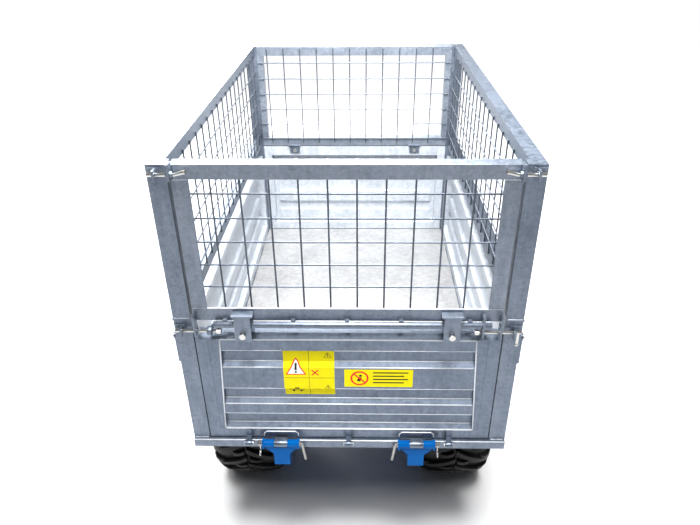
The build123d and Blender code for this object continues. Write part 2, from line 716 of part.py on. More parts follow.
def front_mesh():
    """Mesh of the front frame, on its inner face."""
    y = FRONT - RAIL - WIRE_R
    half = POST_IN - 4
    rows = row_heights(FRONT_MESH_TOP_Z, MESH_ROWS + 1)
    ups = [FRONT_MESH_SHIFT + (k - 5) * MESH_X for k in range(11)]
    uprights = [((x, y, LONG_UP[0]), (x, y, LONG_UP[1])) for x in ups]
    cross = [((-half, y - 2 * WIRE_R, z), (half, y - 2 * WIRE_R, z)) for z in rows]
    return wires(uprights, cross)


def side_mesh(side):
    """Mesh of a side frame, on its inner face."""
    x = side * (HALF - RAIL - WIRE_R)
    inner = side * (HALF - RAIL - 3 * WIRE_R)
    count = int((BODY_L - 2 * RAIL) / MESH_X)
    first = (REAR + FRONT) / 2 - (count - 1) * MESH_X / 2
    uprights = [
        ((x, first + k * MESH_X, MESH_UP[0]), (x, first + k * MESH_X, MESH_UP[1])) for k in range(count)
    ]
    ends = (REAR + RAIL + 16, FRONT - RAIL - 16)
    rows = row_heights(MESH_TOP_Z, MESH_ROWS)
    cross = [((inner, ends[0], z), (inner, ends[1], z)) for z in rows]
    return wires(uprights, cross)


def front_mesh_frame():
    """Square tube frame of the front mesh."""
    half = POST_IN
    with BuildPart() as frame:
        block((-half, half), (INNER_Y, FRONT), (SPLIT_Z, TOP_Z))
        opening = (-half + FRONT_STILE, half - FRONT_STILE)
        block(opening, (INNER_Y - 1, FRONT + 1), (SPLIT_Z + RAIL, TOP_Z - RAIL), Mode.SUBTRACT)
    return frame.part


def gate_frame():
    """Rear gate frame of angle bar: one leg flat in the rear face, the other along the outer edge."""
    with BuildPart() as frame:
        block((-GATE_HALF, GATE_HALF), (REAR, REAR + GATE_T), (SPLIT_Z, TOP_Z))
        opening = (-GATE_HALF + GATE_STILE, GATE_HALF - GATE_STILE)
        block(opening, (REAR - 1, REAR + GATE_T + 1), (SPLIT_Z + RAIL, TOP_Z - RAIL), Mode.SUBTRACT)
        block((-GATE_HALF, GATE_HALF), (REAR, REAR + RAIL), (TOP_Z - GATE_T, TOP_Z))
        block((-GATE_HALF, GATE_HALF), (REAR, REAR + RAIL), (SPLIT_Z, SPLIT_Z + GATE_T))
        for side in SIDES.values():
            block(mirrored((GATE_HALF - GATE_T, GATE_HALF), side), (REAR, REAR + RAIL), (SPLIT_Z, TOP_Z))
    return frame.part


def front_plates():
    """T-shaped straps inside the box that tie the front mesh frame to the front panel."""
    with BuildPart() as plates:
        for side in SIDES.values():
            x = side * STRAP_X
            block((x - STRAP_HALF, x + STRAP_HALF), (INNER_Y - 5, INNER_Y), (STRAP_IN_Z - 14, CAGE_FOOT_Z))
            block((x - 30, x + 30), (INNER_Y - 12, INNER_Y), (CAGE_FOOT_Z - 5, CAGE_FOOT_Z))
            rod((x, INNER_Y - 6, STRAP_IN_Z), (x, INNER_Y + 1, STRAP_IN_Z), BOLT_R, Mode.SUBTRACT)
    return plates.part


def mesh_bolts():
    """Bolts of the cage posts, on their outer sides, and of the front straps."""
    with BuildPart() as bolts:
        for side in SIDES.values():
            for y in LEVER_Y.values():
                rod((side * (HALF - 19), y, FOOT_BOLT_Z), (side * HALF, y, FOOT_BOLT_Z), FOOT_BOLT_R)
                rod((side * HALF, y, FOOT_BOLT_Z), (side * (HALF + 5), y, FOOT_BOLT_Z), 9)
            x = side * STRAP_X
            rod((x, INNER_Y - 5, STRAP_IN_Z), (x, INNER_Y + 17, STRAP_IN_Z), BOLT_R)
            rod((x, INNER_Y - 10, STRAP_IN_Z), (x, INNER_Y - 5, STRAP_IN_Z), 9)
    return bolts.part


# ---- rear gate hardware ---------------------------------------------------------------------
LOCK_Y = REAR - 14.0  # line of the slide bolts and of the tie bar
TIE_BAR_Z = 1051.0
TIE_BAR_R = 9.5
TIE_END = 400.0
LOW_BOLT_Z = 1030.0
HIGH_BOLT_Z = 1497.0
SLIDE_R = 5.0
SLIDE_END = 484.0
EYE_X = 386.0
LUG_X = {"inner": 376.0, "low": 425.0, "high": 428.0}
SLEEVE_HALF = 8.0
ELBOW_X = 417.0
KEEPER_X = (462.0, 468.0)


def tie_bar():
    """Round bar along the joint of gate and tailgate, its left end bent down into an eye."""
    bend = EYE_X - 372.0
    with BuildPart() as bar:
        with BuildLine() as path:
            run = Line((TIE_END, LOCK_Y, TIE_BAR_Z), (-372.0, LOCK_Y, TIE_BAR_Z))
            RadiusArc(run @ 1, (-EYE_X, LOCK_Y, TIE_BAR_Z - bend), -bend)
        with BuildSketch(Plane(origin=run @ 0, z_dir=run % 0)):
            Circle(TIE_BAR_R)
        sweep(path=path.wires()[0])
        rod((-EYE_X - 6, LOCK_Y, LOW_BOLT_Z), (-EYE_X + 6, LOCK_Y, LOW_BOLT_Z), 13)
        for x in (-340, -150, 0, 150, 340):
            block((x - 6, x + 6), (LOCK_Y, REAR), (TIE_BAR_Z + 5, TIE_BAR_Z + 16))
        rod((-EYE_X - 16, LOCK_Y, LOW_BOLT_Z), (-EYE_X + 16, LOCK_Y, LOW_BOLT_Z), SLIDE_R + RUN, Mode.SUBTRACT)
    return bar.part


def strap_plates():
    """T-shaped straps that tie the gate to the tailgate, with their spacer sleeves."""
    back = LOCK_Y - TIE_BAR_R - 0.5
    with BuildPart() as straps:
        for side in SIDES.values():
            x = side * STRAP_X
            block((x - STRAP_HALF, x + STRAP_HALF), (back - 5, back), (PANEL_TOP_Z, SPLIT_Z + 32))
            block((x - 30, x + 30), (back - 5, REAR), (SPLIT_Z + 27, SPLIT_Z + 32))
            rod((x, back, STRAP_BOLT_Z), (x, EAR_Y, STRAP_BOLT_Z), 11)
            rod((x, back - 6, STRAP_BOLT_Z), (x, EAR_Y + 1, STRAP_BOLT_Z), BOLT_R, Mode.SUBTRACT)
    return straps.part


def strap_bolts():
    """Bolts with round heads through the straps and the tailgate's ears, with nuts."""
    back = LOCK_Y - TIE_BAR_R - 5.5
    with BuildPart() as bolts:
        for side in SIDES.values():
            x = side * STRAP_X
            rod((x, back, STRAP_BOLT_Z), (x, EAR_Y + 18, STRAP_BOLT_Z), BOLT_R)
            rod((x, back - 12, STRAP_BOLT_Z), (x, back, STRAP_BOLT_Z), 9)
            with BuildSketch(Plane.XZ.offset(-(EAR_Y + PLATE_T))):
                with Locations((x, STRAP_BOLT_Z)):
                    RegularPolygon(10, 6)
            extrude(amount=-9)
    return bolts.part


def lug(x, z):
    """Plate that guides a slide bolt, standing on the gate frame."""
    block((x - 3, x + 3), (REAR - 28, REAR), z)


def bolt_lugs():
    """Guide lugs of the four slide bolts; the upper ones carry a guide sleeve."""
    with BuildPart() as lugs:
        lug(LUG_X["inner"], (LOW_BOLT_Z - 13, SPLIT_Z + 28))
        for side in SIDES.values():
            lug(side * LUG_X["low"], (LOW_BOLT_Z - 13, SPLIT_Z + 28))
            high = side * LUG_X["high"]
            lug(high, (HIGH_BOLT_Z - 13, TOP_Z + 9))
            rod((high - SLEEVE_HALF, LOCK_Y, HIGH_BOLT_Z), (high + SLEEVE_HALF, LOCK_Y, HIGH_BOLT_Z), 9)
        for z in (LOW_BOLT_Z, HIGH_BOLT_Z):
            rod((-HALF, LOCK_Y, z), (HALF, LOCK_Y, z), SLIDE_R + RUN, Mode.SUBTRACT)
        rod((0, LOCK_Y, TIE_BAR_Z), (HALF, LOCK_Y, TIE_BAR_Z), TIE_BAR_R, Mode.SUBTRACT)
    return lugs.part


def bolt_keepers():
    """Keepers on the posts that take the ends of the slide bolts, slotted downwards for a handle."""
    with BuildPart() as keepers:
        for side in SIDES.values():
            for z in (LOW_BOLT_Z, HIGH_BOLT_Z):
                plate = mirrored(KEEPER_X, side)
                block(plate, (REAR - 28, REAR), (z - 14, z + 14))
                block(mirrored((456, 486), side), (REAR - 5, REAR), (z - 14, z + 14))
                rod((side * POST_IN, LOCK_Y, z), (side * HALF, LOCK_Y, z), SLIDE_R + 0.6, Mode.SUBTRACT)
                slot = (LOCK_Y - SLIDE_R - 0.6, LOCK_Y + SLIDE_R + 0.6)
                block(mirrored((POST_IN, HALF), side), slot, (z - 15, z), Mode.SUBTRACT)
    return keepers.part


def low_slide_bolt(side):
    """Middle slide bolt: round rod with a nut at its inner end; the right one has a drop handle."""
    tail = side * 354
    with BuildPart() as bolt:
        rod((tail, LOCK_Y, LOW_BOLT_Z), (side * SLIDE_END, LOCK_Y, LOW_BOLT_Z), SLIDE_R)
        with BuildSketch(Plane(origin=(tail, LOCK_Y, LOW_BOLT_Z), z_dir=(side, 0, 0))):
            RegularPolygon(9, 6)
        extrude(amount=12)
        if side > 0:
            grip = (side * 475, LOCK_Y, LOW_BOLT_Z - 42)
            rod((side * 475, LOCK_Y, LOW_BOLT_Z), grip, 4)
            with Locations(grip):
                Sphere(5.5)
    return bolt.part


def high_slide_bolt(side):
    """Top slide bolt: round rod whose inner end is bent into a raised handle."""
    elbow = (side * ELBOW_X, LOCK_Y, HIGH_BOLT_Z)
    with BuildPart() as bolt:
        rod(elbow, (side * SLIDE_END, LOCK_Y, HIGH_BOLT_Z), SLIDE_R)
        with Locations(elbow):
            Sphere(SLIDE_R)
        rod(elbow, (side * 384, LOCK_Y - 12, HIGH_BOLT_Z + 12), SLIDE_R)
    return bolt.part


LEVER_R = 5.0
LEVER_TOP_Z = 990.0
LEVER_LEN = 96.0


def side_lever(side, y):
    """Latch lever on the outer face of a lower post, hanging down when locked."""
    x0 = side * (HALF + 2)
    x1 = side * (HALF + 9)
    with BuildPart() as lever:
        rod((x0, y, LEVER_TOP_Z), (x1, y, LEVER_TOP_Z), 13)
        block(sorted((x0, x1)), (y - 9, y + 9), (LEVER_TOP_Z - LEVER_LEN + 9, LEVER_TOP_Z))
        rod((x0, y, LEVER_TOP_Z - LEVER_LEN + 9), (x1, y, LEVER_TOP_Z - LEVER_LEN + 9), 9)
        rod((x0 - side, y, LEVER_TOP_Z), (x1 + side, y, LEVER_TOP_Z), LEVER_R + RUN, Mode.SUBTRACT)
    return lever.part


def lever_screws():
    """Pivot screws of the latch levers."""
    with BuildPart() as screws:
        for side in SIDES.values():
            for y in LEVER_Y.values():
                rod((side * HALF, y, LEVER_TOP_Z), (side * (HALF + 10), y, LEVER_TOP_Z), LEVER_R)
                rod((side * (HALF + 10), y, LEVER_TOP_Z), (side * (HALF + 14), y, LEVER_TOP_Z), 9)
    return screws.part


# ---- build and write every piece ------------------------------------------------------------
save(chassis_frame(), "chassis_frame")
save(rest_pads(), "rest_pads")
save(drawbar(), "drawbar")
save(hitch_ring(), "hitch_ring")
save(axle_beam(), "axle_beam")
save(tip_pins(), "tip_pins")
save(r_clips(), "r_clips")
save(prop_stand(), "prop_stand")
save(pivot_bolts(), "pivot_bolts")
save(tip_latch(), "tip_latch")
for word, sign in SIDES.items():
    save(tipping_bracket(sign), f"rear_bracket_{word}")
    save(tyre(sign), f"tyre_{word}")
    save(rim(sign), f"rim_{word}")
    save(hub(sign), f"hub_{word}")
    save(wheel_nuts(sign), f"wheel_nuts_{word}")
    save(lower_post(sign, REAR), f"post_rear_{word}")
    save(lower_post(sign, FRONT - RAIL), f"post_front_{word}")
    save(side_panel(sign), f"side_panel_{word}")
    save(side_mesh_frame(sign), f"side_mesh_frame_{word}")
    save(side_mesh(sign), f"side_mesh_{word}")
    save(low_slide_bolt(sign), f"slide_bolt_low_{word}")
    save(high_slide_bolt(sign), f"slide_bolt_high_{word}")
    for end, place in LEVER_Y.items():
        save(side_lever(sign, place), f"lever_{end}_{word}")
save(floor_frame(), "floor_frame")
save(floor_sheet(), "floor_sheet")
save(tip_lugs(), "tip_lugs")
save(hinge_pins(), "hinge_pins")
save(tailgate(), "tailgate")
save(front_panel(), "front_panel")
save(gate_frame(), "gate_frame")
save(rear_mesh(), "gate_mesh")
save(front_mesh_frame(), "front_mesh_frame")
save(front_mesh(), "front_mesh")
save(front_plates(), "front_plates")
save(mesh_bolts(), "mesh_bolts")
save(tie_bar(), "tie_bar")
save(strap_plates(), "strap_plates")
save(strap_bolts(), "strap_bolts")
save(bolt_lugs(), "bolt_lugs")
save(bolt_keepers(), "bolt_keepers")
save(lever_screws(), "lever_screws")
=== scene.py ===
"""Looks of the mesh-cage tipping trailer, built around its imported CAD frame."""
import json
import math
import random

import bmesh
import bpy
from mathutils import Matrix, Vector


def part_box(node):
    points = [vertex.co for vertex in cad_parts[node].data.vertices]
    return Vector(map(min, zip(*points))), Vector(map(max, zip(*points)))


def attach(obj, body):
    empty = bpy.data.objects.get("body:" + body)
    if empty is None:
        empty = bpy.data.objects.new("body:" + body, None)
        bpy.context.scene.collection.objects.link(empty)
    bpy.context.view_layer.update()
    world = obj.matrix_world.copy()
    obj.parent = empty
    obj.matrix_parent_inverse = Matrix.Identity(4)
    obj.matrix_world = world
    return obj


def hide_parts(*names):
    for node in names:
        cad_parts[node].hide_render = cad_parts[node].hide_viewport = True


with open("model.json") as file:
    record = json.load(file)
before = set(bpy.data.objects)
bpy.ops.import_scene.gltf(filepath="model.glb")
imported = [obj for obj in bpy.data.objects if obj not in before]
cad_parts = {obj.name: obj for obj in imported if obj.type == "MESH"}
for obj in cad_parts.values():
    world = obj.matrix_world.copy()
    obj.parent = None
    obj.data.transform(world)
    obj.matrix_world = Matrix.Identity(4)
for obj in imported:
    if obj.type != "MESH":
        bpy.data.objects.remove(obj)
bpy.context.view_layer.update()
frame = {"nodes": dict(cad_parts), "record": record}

# ---- places taken from the frame (metres) ---------------------------------------------------
LEFT_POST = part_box("post_rear_left")
RIGHT_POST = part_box("post_rear_right")
FRONT_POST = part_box("post_front_right")
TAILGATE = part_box("tailgate")
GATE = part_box("gate_frame")
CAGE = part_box("side_mesh_frame_right")
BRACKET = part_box("rear_bracket_right")
REAR_Y = LEFT_POST[0].y
FRONT_Y = FRONT_POST[1].y
HALF_W = RIGHT_POST[1].x
FLOOR_Z = LEFT_POST[0].z
TOP_Z = GATE[1].z
PANEL_Z = FLOOR_Z + 0.004
RAIL = 0.040  # width of posts and rails
GATE_STILE = 0.043
BEAM_OUT = 0.010  # how far the rear floor beam stands out behind the posts
SIDES = {"left": -1, "right": 1}

random.seed(7)


# ---- mesh helpers ---------------------------------------------------------------------------
def new_object(name, mesh):
    obj = bpy.data.objects.new(name, mesh)
    bpy.context.scene.collection.objects.link(obj)
    return obj


def finish_mesh(name, bm, material, smooth=True, angle=35.0):
    """Object from a bmesh, with recalculated normals and smooth shading below an angle."""
    bmesh.ops.recalc_face_normals(bm, faces=bm.faces)
    mesh = bpy.data.meshes.new(name)
    bm.to_mesh(mesh)
    bm.free()
    mesh.materials.append(material)
    for face in mesh.polygons:
        face.use_smooth = smooth
    if smooth:
        mesh.set_sharp_from_angle(angle=math.radians(angle))
    return new_object(name, mesh)


def own(piece, body):
    """A piece that moves with a body."""
    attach(piece, body)
    return piece


# ---- material helpers -----------------------------------------------------------------------
class Material:
    """Principled material with a few shorthand calls for procedural inputs."""

    def __init__(self, name):
        self.material = bpy.data.materials.new(name)
        self.material.use_nodes = True
        self.tree = self.material.node_tree
        self.shader = self.tree.nodes["Principled BSDF"]
        self.place = self.node("ShaderNodeTexCoord").outputs["Object"]

    def node(self, kind, **settings):
        made = self.tree.nodes.new(kind)
        for key, value in settings.items():
            setattr(made, key, value)
        return made

    def link(self, source, target):
        self.tree.links.new(source, target)

    def set(self, **values):
        for key, value in values.items():
            self.shader.inputs[key.replace("_", " ")].default_value = value

    def noise(self, scale, detail=4.0, roughness=0.6, stretch=(1, 1, 1)):
        shift = self.node("ShaderNodeMapping")
        shift.inputs["Scale"].default_value = stretch
        self.link(self.place, shift.inputs["Vector"])
        made = self.node("ShaderNodeTexNoise")
        made.inputs["Scale"].default_value = scale
        made.inputs["Detail"].default_value = detail
        made.inputs["Roughness"].default_value = roughness
        self.link(shift.outputs["Vector"], made.inputs["Vector"])
        return made.outputs["Fac"]

    def cells(self, scale, wobble=0.0):
        """One random grey per cell, for zinc spangle."""
        source = self.place
        if wobble:
            bend = self.node("ShaderNodeTexNoise")
            bend.inputs["Scale"].default_value = scale * 0.7
            self.link(self.place, bend.inputs["Vector"])
            mix = self.node("ShaderNodeMix", data_type="VECTOR")
            mix.inputs["Factor"].default_value = wobble
            self.link(self.place, mix.inputs[4])
            self.link(bend.outputs["Color"], mix.inputs[5])
            source = mix.outputs[1]
        made = self.node("ShaderNodeTexVoronoi")
        made.inputs["Scale"].default_value = scale
        self.link(source, made.inputs["Vector"])
        grey = self.node("ShaderNodeSeparateColor")
        self.link(made.outputs["Color"], grey.inputs["Color"])
        return grey.outputs["Red"]

    def ramp(self, source, stops):
        made = self.node("ShaderNodeValToRGB")
        marks = made.color_ramp.elements
        while len(marks) < len(stops):
            marks.new(0.5)
        for mark, (place, colour) in zip(marks, stops):
            mark.position = place
            mark.color = (*colour, 1.0)
        self.link(source, made.inputs["Fac"])
        return made.outputs["Color"]

    def span(self, source, low, high):
        """Remaps 0..1 to low..high."""
        made = self.node("ShaderNodeMapRange")
        made.inputs["To Min"].default_value = low
        made.inputs["To Max"].default_value = high
        self.link(source, made.inputs["Value"])
        return made.outputs["Result"]

    def math(self, operation, first, second):
        made = self.node("ShaderNodeMath", operation=operation)
        for socket, value in zip(made.inputs, (first, second)):
            if isinstance(value, (int, float)):
                socket.default_value = value
            else:
                self.link(value, socket)
        return made.outputs["Value"]

    def mix(self, factor, first, second):
        """Blend of two plain colours."""
        made = self.node("ShaderNodeMix", data_type="RGBA")
        self.link(factor, made.inputs[0])
        for socket, colour in ((made.inputs[6], first), (made.inputs[7], second)):
            socket.default_value = (*colour, 1.0)
        return made.outputs[2]

    def bump(self, height, strength, distance):
        made = self.node("ShaderNodeBump")
        made.inputs["Strength"].default_value = strength
        made.inputs["Distance"].default_value = distance
        self.link(height, made.inputs["Height"])
        self.link(made.outputs["Normal"], self.shader.inputs["Normal"])


def galvanised(name, dark, light, spangle=70.0, rough=(0.30, 0.50), metal=0.85):
    """Hot-dip zinc: angular spangle, cloudy tone, faint runs and fine pitting."""
    m = Material(name)
    flakes = m.cells(spangle, wobble=0.006)
    small = m.cells(spangle * 2.6)
    cloud = m.noise(7.0, detail=6.0)
    runs = m.noise(9.0, detail=3.0, stretch=(6.0, 6.0, 0.8))
    tone = m.math("ADD", m.math("MULTIPLY", flakes, 0.14), m.math("MULTIPLY", small, 0.10))
    tone = m.math("ADD", tone, m.math("MULTIPLY", cloud, 0.42))
    tone = m.math("ADD", tone, m.math("MULTIPLY", runs, 0.34))
    m.link(m.ramp(tone, [(0.30, dark), (0.70, light)]), m.shader.inputs["Base Color"])
    m.link(m.span(m.math("ADD", m.math("MULTIPLY", flakes, 0.5), m.math("MULTIPLY", cloud, 0.5)), *rough),
           m.shader.inputs["Roughness"])
    grain = m.math("ADD", m.noise(420.0, detail=2.0), m.math("MULTIPLY", flakes, 0.25))
    m.bump(grain, 0.10, 0.0005)
    m.set(Metallic=metal)
    return m.material


def plated(name, colour, warm):
    """Bright zinc plating with a faint yellow passivation."""
    m = Material(name)
    cloud = m.noise(60.0, detail=3.0)
    m.link(m.mix(m.span(cloud, 0.0, 1.0), colour, warm), m.shader.inputs["Base Color"])
    m.link(m.span(m.noise(200.0), 0.22, 0.40), m.shader.inputs["Roughness"])
    m.bump(m.noise(700.0, detail=2.0), 0.12, 0.0004)
    m.set(Metallic=1.0)
    return m.material


def paint(name, colour, worn, rough=(0.25, 0.40)):
    """Enamel with orange peel, slight fading and dust."""
    m = Material(name)
    cloud = m.noise(14.0, detail=5.0)
    m.link(m.ramp(cloud, [(0.35, colour), (0.75, worn)]), m.shader.inputs["Base Color"])
    m.link(m.span(m.noise(30.0), *rough), m.shader.inputs["Roughness"])
    m.bump(m.noise(260.0, detail=2.0), 0.10, 0.0006)
    m.set(Metallic=0.0, Specular_IOR_Level=0.06)
    return m.material


def rubber(name, dark, dusty, rough=(0.45, 0.70)):
    """Black rubber with dust in the grain."""
    m = Material(name)
    cloud = m.noise(18.0, detail=6.0, roughness=0.7)
    m.link(m.ramp(cloud, [(0.42, dark), (0.80, dusty)]), m.shader.inputs["Base Color"])
    m.link(m.span(m.noise(55.0), *rough), m.shader.inputs["Roughness"])
    m.bump(m.noise(340.0, detail=3.0), 0.25, 0.0008)
    m.set(Specular_IOR_Level=0.2)
    return m.material


def vinyl(name, colour, aged):
    """Printed self-adhesive film."""
    m = Material(name)
    m.link(m.ramp(m.noise(40.0), [(0.4, colour), (0.8, aged)]), m.shader.inputs["Base Color"])
    m.link(m.span(m.noise(90.0), 0.45, 0.60), m.shader.inputs["Roughness"])
    m.set(Specular_IOR_Level=0.1)
    return m.material


ZINC = galvanised("galvanised_steel", (0.095, 0.118, 0.155), (0.190, 0.222, 0.275), spangle=95.0, metal=0.75)
# The tailgate's zinc: a darker copy of the galvanised steel, painted shade for its shaded outer face.
ZINC_GATE_SHADED = galvanised(
    "galvanised_gate_painted_shade", (0.085, 0.106, 0.142), (0.170, 0.204, 0.260), spangle=80.0, metal=0.75)
# The panels' zinc: a much lighter copy, painted light for their brightly lit inner faces.
ZINC_SHEET_LIT = galvanised("galvanised_sheet_painted_light", (0.30, 0.33, 0.37), (0.52, 0.55, 0.59), spangle=80.0, metal=0.42)
# The front mesh frame's zinc: a lighter copy of the galvanised steel, painted light.
ZINC_FRONT_LIT = galvanised(
    "galvanised_front_painted_light", (0.14, 0.165, 0.205), (0.26, 0.295, 0.35), spangle=80.0, metal=0.65)
# The gate frame's zinc: a lighter copy of the galvanised steel, painted light on its rails and stiles.
ZINC_FRAME_LIT = galvanised(
    "galvanised_frame_painted_light", (0.115, 0.138, 0.175), (0.225, 0.255, 0.31), spangle=95.0, metal=0.7)
# The floor sheet's zinc: a grey copy set darker than the panels' to offset the strong light on it, painted
# shade.
ZINC_FLOOR_SHADED = galvanised(
    "galvanised_floor_painted_shade", (0.195, 0.197, 0.20), (0.335, 0.335, 0.335), spangle=60.0, metal=0.45)
# The wire's zinc: a darker copy of the galvanised steel, painted shade so the thin wires read darker.
ZINC_WIRE_SHADED = galvanised("galvanised_wire_painted_shade", (0.045, 0.055, 0.075), (0.11, 0.13, 0.16), spangle=160.0, metal=0.6)
# Bright copy of the zinc for the bars along folds and edges: painted highlights.
ZINC_HIGHLIGHT = galvanised("galvanised_painted_highlight", (0.54, 0.57, 0.61), (0.68, 0.71, 0.75), spangle=200.0, metal=0.5)
WELD = galvanised("galvanised_weld", (0.40, 0.43, 0.48), (0.66, 0.69, 0.73), spangle=300.0)
PLATED = plated("zinc_plated", (0.50, 0.52, 0.55), (0.60, 0.58, 0.50))
# The tip pins' plating: a darker copy of the zinc plating, painted shade.
PINS_SHADED = plated("plated_pins_painted_shade", (0.24, 0.25, 0.27), (0.32, 0.31, 0.28))
BLUE = paint("blue_paint", (0.0, 0.080, 0.30), (0.0, 0.100, 0.34))
RIM_PAINT = paint("rim_paint", (0.55, 0.56, 0.56), (0.66, 0.66, 0.65), rough=(0.30, 0.45))
TYRE = rubber("tyre_rubber", (0.004, 0.004, 0.005), (0.012, 0.012, 0.012), rough=(0.38, 0.60))
PAD = rubber("pad_rubber", (0.015, 0.015, 0.015), (0.04, 0.04, 0.04))
YELLOW = vinyl("film_yellow", (0.76, 0.66, 0.0), (0.70, 0.59, 0.004))
RED = vinyl("film_red", (0.72, 0.02, 0.02), (0.66, 0.03, 0.02))
BLACK = vinyl("film_black", (0.01, 0.01, 0.01), (0.03, 0.03, 0.03))
WHITE = vinyl("film_white", (0.85, 0.85, 0.85), (0.78, 0.78, 0.78))

FINISH = {
    "galvanised_steel": ZINC,
    "zinc_plated": PLATED,
    "blue_paint": BLUE,
    "pad_rubber": PAD,
    "tyre_rubber": TYRE,
    "rim_paint": RIM_PAINT,
}
# Lighter and darker copies of the zinc and plating for single nodes: painted light and painted shade set by
# how light falls on each part.
LIT_AND_SHADED_COPIES = {
    "floor_sheet": ZINC_FLOOR_SHADED,
    "tailgate": ZINC_GATE_SHADED,
    "front_panel": ZINC_SHEET_LIT,
    "side_panel_left": ZINC_SHEET_LIT,
    "side_panel_right": ZINC_SHEET_LIT,
    "front_mesh_frame": ZINC_FRONT_LIT,
    "gate_frame": ZINC_FRAME_LIT,
    "gate_mesh": ZINC_WIRE_SHADED,
    "tip_pins": PINS_SHADED,
    "front_mesh": ZINC_WIRE_SHADED,
    "side_mesh_left": ZINC_WIRE_SHADED,
    "side_mesh_right": ZINC_WIRE_SHADED,
}
SLOT_OF = {part["node"]: part["material_slot"] for part in frame["record"]["subparts"]}
ROUND_EDGE = 0.0014  # rounding of rolled and dipped edges
SMALL_EDGE = 0.0006
EDGE_ANGLE = 28  # edges sharper than this many degrees are rounded
WELD_GAP = 0.00002
SMALL_PARTS = (
    "bolt", "lug", "keeper", "pin", "clip", "nut", "screw", "strap", "lever", "tie_bar", "latch", "hub")
NO_BEVEL = ("mesh", "tyre", "r_clips")


def round_edges(obj, width, angle):
    bevel = obj.modifiers.new("edges", "BEVEL")
    bevel.width = width
    bevel.segments = 2
    bevel.limit_method = "ANGLE"
    bevel.angle_limit = math.radians(angle)


def dress_cad_nodes():
    """Materials for every carried-over node, and slightly rounded edges on the solid ones."""
    for node, obj in frame["nodes"].items():
        # Some nodes take a lighter or darker copy of their finish instead: painted light and painted shade.
        material = LIT_AND_SHADED_COPIES.get(node, FINISH[SLOT_OF[node]])
        if not obj.material_slots:
            obj.data.materials.append(material)
        for holder in obj.material_slots:
            holder.material = material
        if any(word in node for word in NO_BEVEL) and "frame" not in node and "bolts" not in node:
            continue
        weld = obj.modifiers.new("join", "WELD")
        weld.merge_threshold = WELD_GAP
        small = any(word in node for word in SMALL_PARTS)
        round_edges(obj, SMALL_EDGE if small else ROUND_EDGE, EDGE_ANGLE)


dress_cad_nodes()


# ---- tyres ----------------------------------------------------------------------------------
TYRE_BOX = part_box("tyre_right")
TYRE_CENTRE = (TYRE_BOX[0] + TYRE_BOX[1]) / 2
LUG_H = 0.017
LUGS = 19
LUG_W = 0.034
LUG_SWEEP = 0.30  # how far a lug leans round the tyre, in radians
LUG_ROOT = 0.004  # how deep a lug's foot sits in the casing
LUG_STATIONS = (0.0, 0.06, 0.12, 0.19, 0.26, 0.33, 0.40, 0.47, 0.53)  # from the crown to the bead
SHOULDER_STATIONS = (0.26, 0.33, 0.40, 0.47, 0.52)
CROWN_STATIONS = (0.02, 0.08, 0.14)
SHOULDER_SHIFT, CROWN_SHIFT = 0.52, 0.62  # places of the small blocks, in pitches after a lug
LUG_ROUND, LUG_ANGLE = 0.0025, 30
SIDEWALL_RINGS = ((0.196, 0.0022), (0.176, 0.0018), (0.130, 0.0020))  # radius and thickness
CASING = [  # half width and radius of the outer casing, from the crown to the bead
    (0.000, 0.2620), (0.030, 0.2616), (0.060, 0.2598), (0.085, 0.2565), (0.104, 0.2505), (0.118, 0.2405),
    (0.128, 0.2270), (0.135, 0.2080), (0.1380, 0.1880), (0.1370, 0.1680), (0.1320, 0.1480), (0.1230, 0.1310),
    (0.1120, 0.1210), (0.1085, 0.1185),
]
BEAD = [(0.1000, 0.1180), (0.0940, 0.1060)]


def casing_point(along):
    """Half width, radius and outward normal at a share of the outer casing, 0 crown to 1 bead."""
    place = along * (len(CASING) - 1)
    low = min(int(place), len(CASING) - 2)
    share = place - low
    (x0, r0), (x1, r1) = CASING[low], CASING[low + 1]
    run = Vector((x1 - x0, r1 - r0)).normalized()
    return x0 + (x1 - x0) * share, r0 + (r1 - r0) * share, Vector((-run.y, run.x))


def around(x, radius, angle, centre):
    return Vector((centre.x + x, centre.y + radius * math.cos(angle), centre.z + radius * math.sin(angle)))


def skin_rows(bm, rows):
    """Faces between each row of points and the next; every row is a closed loop."""
    for first, second in rows:
        for j in range(len(first)):
            n = (j + 1) % len(first)
            bm.faces.new((first[j], first[n], second[n], second[j]))


def closed_pairs(loops):
    return [(loops[k], loops[(k + 1) % len(loops)]) for k in range(len(loops))]


def tyre_casing(bm, centre):
    """Revolved casing from bead to bead."""
    half = CASING + BEAD
    profile = [(-x, r) for x, r in reversed(half)] + half[1:]
    steps = 120
    loops = []
    for k in range(steps):
        angle = math.tau * k / steps
        loops.append([bm.verts.new(around(x, r, angle, centre)) for x, r in profile])
    skin_rows(bm, closed_pairs(loops))


def lug(bm, centre, side, start, stations, width, height, lean):
    """One tread block that follows the casing from the crown over the shoulder."""
    rows = []
    for k, along in enumerate(stations):
        x, r, normal = casing_point(along)
        share = k / (len(stations) - 1)
        angle = start + lean * share ** 0.8
        tall = height * (1.0 - 0.55 * max(0.0, share - 0.55) / 0.45)
        half = width * (0.5 - 0.08 * math.sin(share * math.pi)) / r
        row = []
        for turn, lift in ((-half, -LUG_ROOT), (-half * 0.72, tall), (half * 0.72, tall), (half, -LUG_ROOT)):
            place = around(side * (x + normal.x * lift), r + normal.y * lift, angle + turn, centre)
            row.append(bm.verts.new(place))
        rows.append(row)
    skin_rows(bm, zip(rows, rows[1:]))
    bm.faces.new(rows[0])
    bm.faces.new(list(reversed(rows[-1])))


